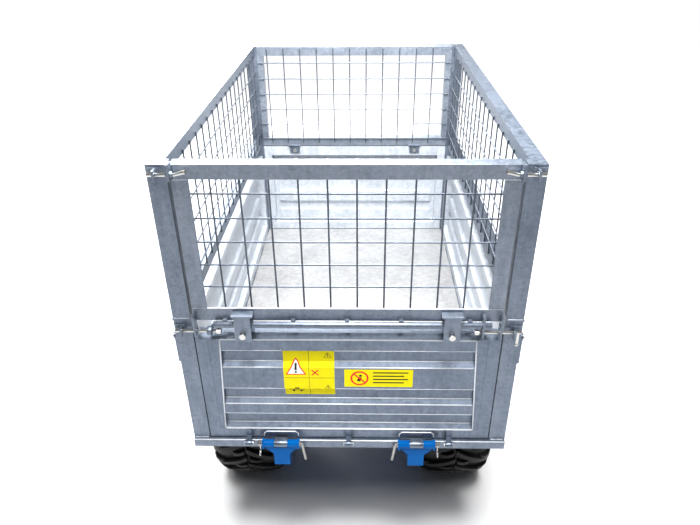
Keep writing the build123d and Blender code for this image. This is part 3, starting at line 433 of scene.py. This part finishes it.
def build_tyre(word):
    """Flotation tyre with alternating chevron lugs and shoulder blocks."""
    centre = Vector((TYRE_CENTRE.x * SIDES[word], TYRE_CENTRE.y, TYRE_CENTRE.z))
    bm = bmesh.new()
    tyre_casing(bm, centre)
    casing = finish_mesh(f"tyre_casing_{word}", bm, TYRE, angle=50)
    own(casing, f"wheel_{word}")
    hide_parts(f"tyre_{word}")
    bm = bmesh.new()
    pitch = math.tau / LUGS
    for side in (-1, 1):
        for k in range(LUGS):
            start = pitch * (k + (0.5 if side > 0 else 0.0))
            lug(bm, centre, side, start, LUG_STATIONS, LUG_W, LUG_H, LUG_SWEEP)
            shoulder = start + LUG_SWEEP + pitch * SHOULDER_SHIFT
            lug(bm, centre, side, shoulder, SHOULDER_STATIONS, LUG_W * 0.9, LUG_H * 0.85, 0.05)
            crown = start + pitch * CROWN_SHIFT
            lug(bm, centre, side, crown, CROWN_STATIONS, LUG_W * 0.8, LUG_H * 0.9, 0.07)
    lugs = finish_mesh(f"tyre_lugs_{word}", bm, TYRE, angle=40)
    round_edges(lugs, LUG_ROUND, LUG_ANGLE)
    own(lugs, f"wheel_{word}")
    bm = bmesh.new()
    for side in (-1, 1):
        for radius, thick in SIDEWALL_RINGS:
            ring(bm, centre, side, radius, thick)
    rings = finish_mesh(f"tyre_rings_{word}", bm, TYRE)
    own(rings, f"wheel_{word}")


def ring(bm, centre, side, radius, thick):
    """Raised line moulded round a sidewall."""
    for low in range(len(CASING) - 1):
        (x0, r0), (x1, r1) = CASING[low], CASING[low + 1]
        if r1 <= radius <= r0:
            x = x0 + (x1 - x0) * (r0 - radius) / (r0 - r1)
    steps, sides = 96, 8
    loops = []
    for k in range(steps):
        angle = math.tau * k / steps
        loop = []
        for j in range(sides):
            turn = math.tau * j / sides
            across, out = thick * math.cos(turn), thick * math.sin(turn)
            loop.append(bm.verts.new(around(side * (x + across), radius + out, angle, centre)))
        loops.append(loop)
    skin_rows(bm, closed_pairs(loops))


for word in SIDES:
    build_tyre(word)


# ---- stickers -------------------------------------------------------------------------------
RIB_TOPS = (0.098, 0.199, 0.342)  # pressed ribs of the tailgate, above its bottom edge
RIB_H = 0.062
RIB_D = 0.014
SKIN = 0.002
FILM = 0.0003
NEAR = 1e-6
LEFT_STICKER = (-0.191, -0.040, 0.771, 0.9475)  # X and Z limits
RIGHT_STICKER = (-0.011, 0.192, 0.814, 0.880)
BRACKET_X = (BRACKET[0].x + BRACKET[1].x) / 2
PANEL_RAIL = 0.383  # lower edge of the tailgate's top rail, above its bottom edge
END_TOP, END_LOW = 0.070, 0.051  # width of the tapered end plates with their stiles


def panel_depth(z, above):
    """How far the tailgate's sheet lies inside its frame; above picks the upper side of a lip."""
    height = z - PANEL_Z
    for top in RIB_TOPS:
        low = top - RIB_H
        if low < height < top or (abs(height - top) < NEAR and not above):
            return SKIN + min(RIB_D, height - low)
    return SKIN


def fold_heights():
    heights = []
    for top in RIB_TOPS:
        heights += [PANEL_Z + top - RIB_H, PANEL_Z + top - RIB_H + RIB_D, PANEL_Z + top]
    return heights


def film_patch(name, outline, material, layer):
    """Flat outline in X and Z laid on the tailgate, following its ribs."""
    bm = bmesh.new()
    bm.faces.new([bm.verts.new((x, 0.0, z)) for x, z in outline])
    for height in fold_heights():
        geom = list(bm.verts) + list(bm.edges) + list(bm.faces)
        bmesh.ops.bisect_plane(bm, geom=geom, plane_co=(0, 0, height), plane_no=(0, 0, 1), dist=1e-7)
    bmesh.ops.split_edges(bm, edges=[e for e in bm.edges if len(e.link_faces) == 2 and lip_edge(e)])
    for face in bm.faces:
        middle_z = face.calc_center_median().z
        for vert in face.verts:
            depth = panel_depth(vert.co.z, middle_z > vert.co.z + NEAR)
            vert.co.y = REAR_Y + depth - FILM * (1 + 0.6 * layer)
    close_lips(bm)
    return finish_film(name, bm, material)


def lip_edge(edge):
    """True for a level edge that lies on a rib's upper lip."""
    height = edge.verts[0].co.z - PANEL_Z
    level = abs(edge.verts[0].co.z - edge.verts[1].co.z) < NEAR
    return level and any(abs(height - top) < NEAR for top in RIB_TOPS)


def close_lips(bm):
    """Bridges the two sides of a split lip edge."""
    loose = [e for e in bm.edges if len(e.link_faces) == 1 and lip_edge(e)]
    pairs = []
    for e in loose:
        for f in loose:
            if e.index < f.index or e is f:
                continue
            if all(min((v.co.xz - w.co.xz).length for w in f.verts) < NEAR for v in e.verts):
                pairs.append((e, f))
    for e, f in pairs:
        a, b = e.verts
        c, d = f.verts
        if (a.co.xz - c.co.xz).length > NEAR:
            c, d = d, c
        bm.faces.new((a, b, d, c))


def finish_film(name, bm, material):
    for face in bm.faces:
        face.normal_update()
        if face.normal.y > 0:
            face.normal_flip()
    mesh = bpy.data.meshes.new(name)
    bm.to_mesh(mesh)
    bm.free()
    mesh.materials.append(material)
    return own(new_object(name, mesh), "rear_door")


def box_outline(x0, x1, z0, z1):
    return [(x0, z0), (x1, z0), (x1, z1), (x0, z1)]


def circle_outline(x, z, radius, steps=40):
    return [(x + radius * math.cos(math.tau * k / steps), z + radius * math.sin(math.tau * k / steps))
            for k in range(steps)]


def bar_outline(start, end, width):
    run = (Vector(end) - Vector(start)).normalized()
    out = Vector((-run.y, run.x)) * width / 2
    a, b = Vector(start), Vector(end)
    return [tuple(a - out), tuple(b - out), tuple(b + out), tuple(a + out)]


def triangle_outline(x, z, size):
    return [(x - size / 2, z), (x + size / 2, z), (x, z + size * 0.87)]


def warning_triangle(name, x, z, size, edge, field):
    """Warning sign: a triangle with a border, a stroke and a dot."""
    film_patch(f"{name}_edge", triangle_outline(x, z, size), edge, 1)
    film_patch(f"{name}_field", triangle_outline(x, z + size * 0.058, size * 0.80), field, 2)
    stroke = bar_outline((x, z + size * 0.28), (x, z + size * 0.60), size * 0.11)
    film_patch(f"{name}_stroke", stroke, BLACK, 3)
    film_patch(f"{name}_dot", circle_outline(x, z + size * 0.17, size * 0.06, 16), BLACK, 3)


def outline_bars(name, points, width):
    """Thin closed line drawing."""
    for k, (start, end) in enumerate(zip(points, points[1:] + points[:1])):
        film_patch(f"{name}_{k}", bar_outline(start, end, width), BLACK, 1)


def build_left_sticker():
    """Square sticker: a warning triangle, small sketches and a cross in four fields."""
    x0, x1, z0, z1 = LEFT_STICKER
    middle_x, middle_z = (x0 + x1) / 2, (z0 + z1) / 2 - 0.012
    rule = 0.0012
    film_patch("sticker_left", box_outline(x0, x1, z0, z1), YELLOW, 0)
    film_patch("sticker_left_rule_up", bar_outline((middle_x, z0), (middle_x, z1), rule), BLACK, 1)
    film_patch("sticker_left_rule_across", bar_outline((x0, middle_z), (x1, middle_z), rule), BLACK, 1)
    warning_triangle("sticker_left_warning", x0 + 0.037, middle_z + 0.012, 0.062, RED, WHITE)
    for word, z in (("a", z1 - 0.036), ("b", z0 + 0.030)):
        warning_triangle(f"sticker_left_small_{word}", x1 - 0.020, z, 0.024, BLACK, YELLOW)
    sketch = ((0.006, 0.022), (0.030, 0.020), (0.034, 0.030), (0.012, 0.032))
    outline_bars("sticker_left_sketch", [(middle_x + x, z0 + z) for x, z in sketch], 0.0009)
    cross_x, cross_z, arm = middle_x + 0.018, middle_z + 0.020, 0.010
    for k, lean in enumerate((-1, 1)):
        start = (cross_x - arm, cross_z - arm * lean)
        end = (cross_x + arm, cross_z + arm * lean)
        film_patch(f"sticker_left_cross_{k}", bar_outline(start, end, 0.004), RED, 1)
    cart = ((0.014, 0.020), (0.054, 0.016), (0.060, 0.027), (0.022, 0.031))
    outline_bars("sticker_left_cart", [(x0 + x, z0 + z) for x, z in cart], 0.0016)
    top = bar_outline((x0 + 0.031, z0 + 0.036), (x0 + 0.045, z0 + 0.036), 0.005)
    film_patch("sticker_left_cart_top", top, BLACK, 1)
    for k, x in enumerate((x0 + 0.026, x0 + 0.049)):
        film_patch(f"sticker_left_cart_wheel_{k}", circle_outline(x, z0 + 0.015, 0.0036, 16), BLACK, 2)


def build_right_sticker():
    """Long sticker: a barred circle with a plain figure, and bars in place of lettering."""
    centre = (0.034, 0.847)
    film_patch("sticker_right", box_outline(*RIGHT_STICKER), YELLOW, 0)
    film_patch("sticker_right_ring", circle_outline(*centre, 0.027), RED, 1)
    film_patch("sticker_right_field", circle_outline(*centre, 0.0215), YELLOW, 2)
    film_patch("sticker_right_figure", bar_outline((0.031, 0.836), (0.036, 0.851), 0.010), BLACK, 3)
    film_patch("sticker_right_head", circle_outline(0.037, 0.857, 0.0042, 16), BLACK, 3)
    film_patch("sticker_right_bar", bar_outline((0.018, 0.863), (0.050, 0.831), 0.0045), RED, 4)
    for k in range(4):
        z = 0.868 - k * 0.0125
        line = bar_outline((0.074, z), (0.178 - 0.012 * (k % 2), z), 0.0042)
        film_patch(f"sticker_right_line_{k}", line, BLACK, 1)


build_left_sticker()
build_right_sticker()


# ---- welds, and painted highlights along folds and edges ------------------------------------
def round_bar(bm, start, end, stations, sides):
    """Closed bar from start to end; each station is a share of the way and a radius."""
    run = (end - start).normalized()
    across = run.orthogonal().normalized()
    up = run.cross(across)
    rows = []
    for share, radius in stations:
        place = start + (end - start) * share
        turns = [math.tau * j / sides for j in range(sides)]
        rows.append([bm.verts.new(place + (across * math.cos(t) + up * math.sin(t)) * radius) for t in turns])
    skin_rows(bm, zip(rows, rows[1:]))
    bm.faces.new(rows[0])
    bm.faces.new(rows[-1])


def weld_seams(name, body, lines, radius):
    """Rows of overlapping weld ripples, each between two points."""
    bm = bmesh.new()
    for start, end in lines:
        start, end = Vector(start), Vector(end)
        steps = 2 * max(2, int((end - start).length / (radius * 0.9)))
        stations = []
        for k in range(steps + 1):
            size = radius * (1.0 if k % 2 else 0.72) * (0.9 + 0.2 * random.random())
            stations.append((k / steps, radius * 0.3 if k in (0, steps) else size))
        round_bar(bm, start, end, stations, 7)
    return own(finish_mesh(name, bm, WELD, angle=60), body)


def highlight_bars(name, body, lines, radius):
    """Smooth rounded bends and edges, as slim bars let into the sheet along its folds, in a bright zinc that
    paints their highlights.
    """
    bm = bmesh.new()
    stations = ((0.0, radius * 0.4), (0.004, radius), (0.996, radius), (1.0, radius * 0.4))
    for start, end in lines:
        round_bar(bm, Vector(start), Vector(end), stations, 12)
    return own(finish_mesh(name, bm, ZINC_HIGHLIGHT, angle=60), body)


def fold_highlight_runs(end, y, z):
    """A highlight bar along a fold across the tailgate, left out where the left sticker lies over it."""
    x0, x1, z0, z1 = LEFT_STICKER
    if z0 - 0.003 < z < z1 + 0.003:
        return [((-end, y, z), (x0 - 0.001, y, z)), ((x1 + 0.001, y, z), (end, y, z))]
    return [((-end, y, z), (end, y, z))]


def heel_highlight_lines():
    """Painted highlights along the upper edges of the heel plates over the brackets."""
    plate_y, top_z, half, corner, foot = REAR_Y - 0.004, PANEL_Z + 0.0275, 0.0535, 0.008, 0.018
    left = [(-half, top_z - foot), (-half, top_z - corner), (corner - half, top_z)]
    route = left + [(-x, z) for x, z in reversed(left)]
    lines = []
    for side in (-1, 1):
        middle = side * BRACKET_X
        for (xa, za), (xb, zb) in zip(route, route[1:]):
            lines.append(((middle + xa, plate_y, za), (middle + xb, plate_y, zb)))
    return lines


def build_fold_highlights():
    """Painted highlights along the folds of the tailgate's pressing, and along the edges of the gate frame
    and of the floor beam.
    """
    face = REAR_Y + SKIN
    low_z, high_z = PANEL_Z + RIB_TOPS[0] - RIB_H, PANEL_Z + PANEL_RAIL
    half = TAILGATE[1].x

    def inner_edge(z):
        return half - END_LOW - (END_TOP - END_LOW) * (z - low_z) / (high_z - low_z)

    low, high, out_y = inner_edge(low_z), inner_edge(high_z), REAR_Y + 0.0006
    lines = [((-high, out_y, high_z), (high, out_y, high_z)), ((-low, out_y, low_z), (low, out_y, low_z))]
    for side in (-1, 1):
        lines.append(((side * high, REAR_Y + 0.001, high_z), (side * low, REAR_Y + 0.001, low_z)))
    highlight_bars("tailgate_border_fold_highlights", "rear_door", lines, 0.0022)
    lines, faint = [], []
    for top in RIB_TOPS:
        top_z, bottom_z = PANEL_Z + top, PANEL_Z + top - RIB_H
        end = inner_edge(top_z - RIB_H / 2) - 0.002
        lines += fold_highlight_runs(end, face + 0.0006, bottom_z)
        lines += fold_highlight_runs(end, face + RIB_D, bottom_z + RIB_D)
        faint += fold_highlight_runs(end, face + 0.0004, top_z)
    highlight_bars("tailgate_rib_fold_highlights", "rear_door", lines, 0.0018)
    highlight_bars("tailgate_rib_lip_highlights", "rear_door", faint, 0.0009)
    highlight_bars("heel_plate_edge_highlights", "rear_door", heel_highlight_lines(), 0.0018)
    beam_y, beam_z = REAR_Y - BEAM_OUT + 0.0008, FLOOR_Z - 0.0008
    highlight_bars("beam_edge_highlight", "box", [((-HALF_W, beam_y, beam_z), (HALF_W, beam_y, beam_z))], 0.0018)
    rail_y, rail_z, opening = REAR_Y + 0.0015, GATE[0].z + RAIL, GATE[1].x - GATE_STILE
    highlight_bars("gate_edge_highlight", "rear_door", [((-opening, rail_y, rail_z), (opening, rail_y, rail_z))], 0.0022)


def build_welds():
    """Seams of the gate's corners, the posts' feet and the cage frames."""
    gate_half = GATE[1].x
    inset = 0.003  # seams stop this far inside an edge
    lines = []
    for side in (-1, 1):
        for z in (GATE[0].z + RAIL, GATE[1].z - RAIL):
            start = (side * (gate_half - GATE_STILE), REAR_Y + 0.001, z)
            lines.append((start, (side * (gate_half - inset), REAR_Y + 0.001, z)))
    weld_seams("gate_corner_welds", "rear_door", lines, 0.0016)

    lines = []
    post_in = -LEFT_POST[1].x
    foot_z = CAGE[0].z + 0.006
    for side in (-1, 1):
        outer = side * HALF_W
        for y in (REAR_Y, FRONT_Y):
            start = (side * (HALF_W - 0.004), y, FLOOR_Z + 0.001)
            lines.append((start, (side * (post_in + 0.004), y, FLOOR_Z + 0.001)))
        for y in (REAR_Y, FRONT_Y):
            lines.append(((side * (HALF_W - inset), y, foot_z), (side * (post_in + inset), y, foot_z)))
        for y in (REAR_Y + 0.002, REAR_Y + 0.038, FRONT_Y - 0.002, FRONT_Y - 0.038):
            lines.append(((outer, y, foot_z), (outer, y, foot_z + 0.0004)))
        lines.append(((outer, REAR_Y + inset, foot_z), (outer, REAR_Y + 0.037, foot_z)))
        lines.append(((outer, FRONT_Y - 0.037, foot_z), (outer, FRONT_Y - inset, foot_z)))
        for y in (REAR_Y + RAIL, FRONT_Y - RAIL):
            for z, rise in ((CAGE[0].z + RAIL, inset - RAIL), (TOP_Z - RAIL, RAIL - inset)):
                lines.append(((outer, y, z), (outer, y, z + rise)))
    weld_seams("box_welds", "box", lines, 0.0020)


build_welds()
build_fold_highlights()


# ---- stage, light and camera ----------------------------------------------------------------
def pale_floor():
    m = Material("pale_floor")
    tone = m.ramp(m.noise(0.6), [(0.3, (0.66, 0.66, 0.67)), (0.7, (0.69, 0.69, 0.69))])
    m.link(tone, m.shader.inputs["Base Color"])
    m.set(Roughness=0.6, Specular_IOR_Level=0.0)
    return m.material


def build_stage():
    """Pale floor, with a dim studio all round it and a pale wall beyond its far edge."""
    bm = bmesh.new()
    corners = [(-FLOOR_REACH, -FLOOR_REACH, 0), (FLOOR_REACH, -FLOOR_REACH, 0),
               (FLOOR_REACH, FLOOR_REACH, 0), (-FLOOR_REACH, FLOOR_REACH, 0)]
    bm.faces.new([bm.verts.new(corner) for corner in corners])
    finish_mesh("floor", bm, pale_floor(), smooth=False)
    world = bpy.data.worlds.new("studio")
    bpy.context.scene.world = world
    world.use_nodes = True
    nodes, links = world.node_tree.nodes, world.node_tree.links
    fill, wall = nodes["Background"], nodes.new("ShaderNodeBackground")
    for shade, colour, strength in ((fill, (0.93, 0.96, 1.0, 1.0), FILL), (wall, (1.0, 1.0, 1.0, 1.0), WALL)):
        shade.inputs["Color"].default_value = colour
        shade.inputs["Strength"].default_value = strength
    path, pick = nodes.new("ShaderNodeLightPath"), nodes.new("ShaderNodeMixShader")
    links.new(path.outputs["Is Camera Ray"], pick.inputs[0])
    links.new(fill.outputs[0], pick.inputs[1])
    links.new(wall.outputs[0], pick.inputs[2])
    links.new(pick.outputs[0], nodes["World Output"].inputs["Surface"])


def sun(name, lean, strength, spread):
    """Distant light; lean is its slope towards +X and +Y from straight down."""
    data = bpy.data.lights.new(name, "SUN")
    data.energy = strength
    data.angle = math.radians(spread)
    lamp = new_object(name, data)
    lamp.rotation_euler = Vector((lean[0], lean[1], -1.0)).to_track_quat("-Z", "Y").to_euler()


def area_light(name, place, aim, size, power):
    """Rectangular softbox at a place, turned towards its aim."""
    data = bpy.data.lights.new(name, "AREA")
    data.shape = "RECTANGLE"
    data.size, data.size_y = size
    data.energy = power
    lamp = new_object(name, data)
    lamp.location = place
    lamp.rotation_euler = (Vector(aim) - Vector(place)).to_track_quat("-Z", "Y").to_euler()


FLOOR_REACH = 40.0
FILL = 0.09  # strength of the light from all round
WALL = 0.95  # brightness of the pale wall
SENSOR_MM = 36.0
LENS_MM = 31.5
CAMERA_AT = Vector((0.0431, REAR_Y - 1.3987, 2.054))
YAW, PITCH, ROLL = (math.radians(a) for a in (-1.395, 30.053, -0.523))


def build_camera():
    """Camera behind and above the trailer, turned by YAW, PITCH and ROLL."""
    data = bpy.data.cameras.new("camera")
    data.sensor_width = SENSOR_MM
    data.lens = LENS_MM
    data.clip_end = 200.0
    camera = new_object("camera", data)
    forward = Vector((math.sin(YAW) * math.cos(PITCH), math.cos(YAW) * math.cos(PITCH), -math.sin(PITCH)))
    right = Vector((math.cos(YAW), -math.sin(YAW), 0.0))
    up = right.cross(forward)
    turned_right = right * math.cos(ROLL) + up * math.sin(ROLL)
    turned_up = up * math.cos(ROLL) - right * math.sin(ROLL)
    turn = Matrix((turned_right, turned_up, -forward)).transposed().to_4x4()
    camera.matrix_world = Matrix.Translation(CAMERA_AT) @ turn
    bpy.context.scene.camera = camera


build_stage()
middle = Vector((0, (REAR_Y + FRONT_Y) / 2, 0.8))
sun("overhead", (0.0, 0.26), 4.6, 16.0)
area_light("box_light", (0, REAR_Y + 0.35, 2.6), (0, FRONT_Y - 0.1, 0.8), (0.8, 0.6), 150)
area_light("front_softbox", (-1.2, FRONT_Y + 3.4, 3.4), middle, (3.8, 1.8), 330)
area_light("rear_softbox", (0, REAR_Y - 1.9, 4.4), (0, REAR_Y, 0.9), (3.2, 0.9), 85)
bpy.context.scene.view_settings.view_transform = "Standard"
build_camera()
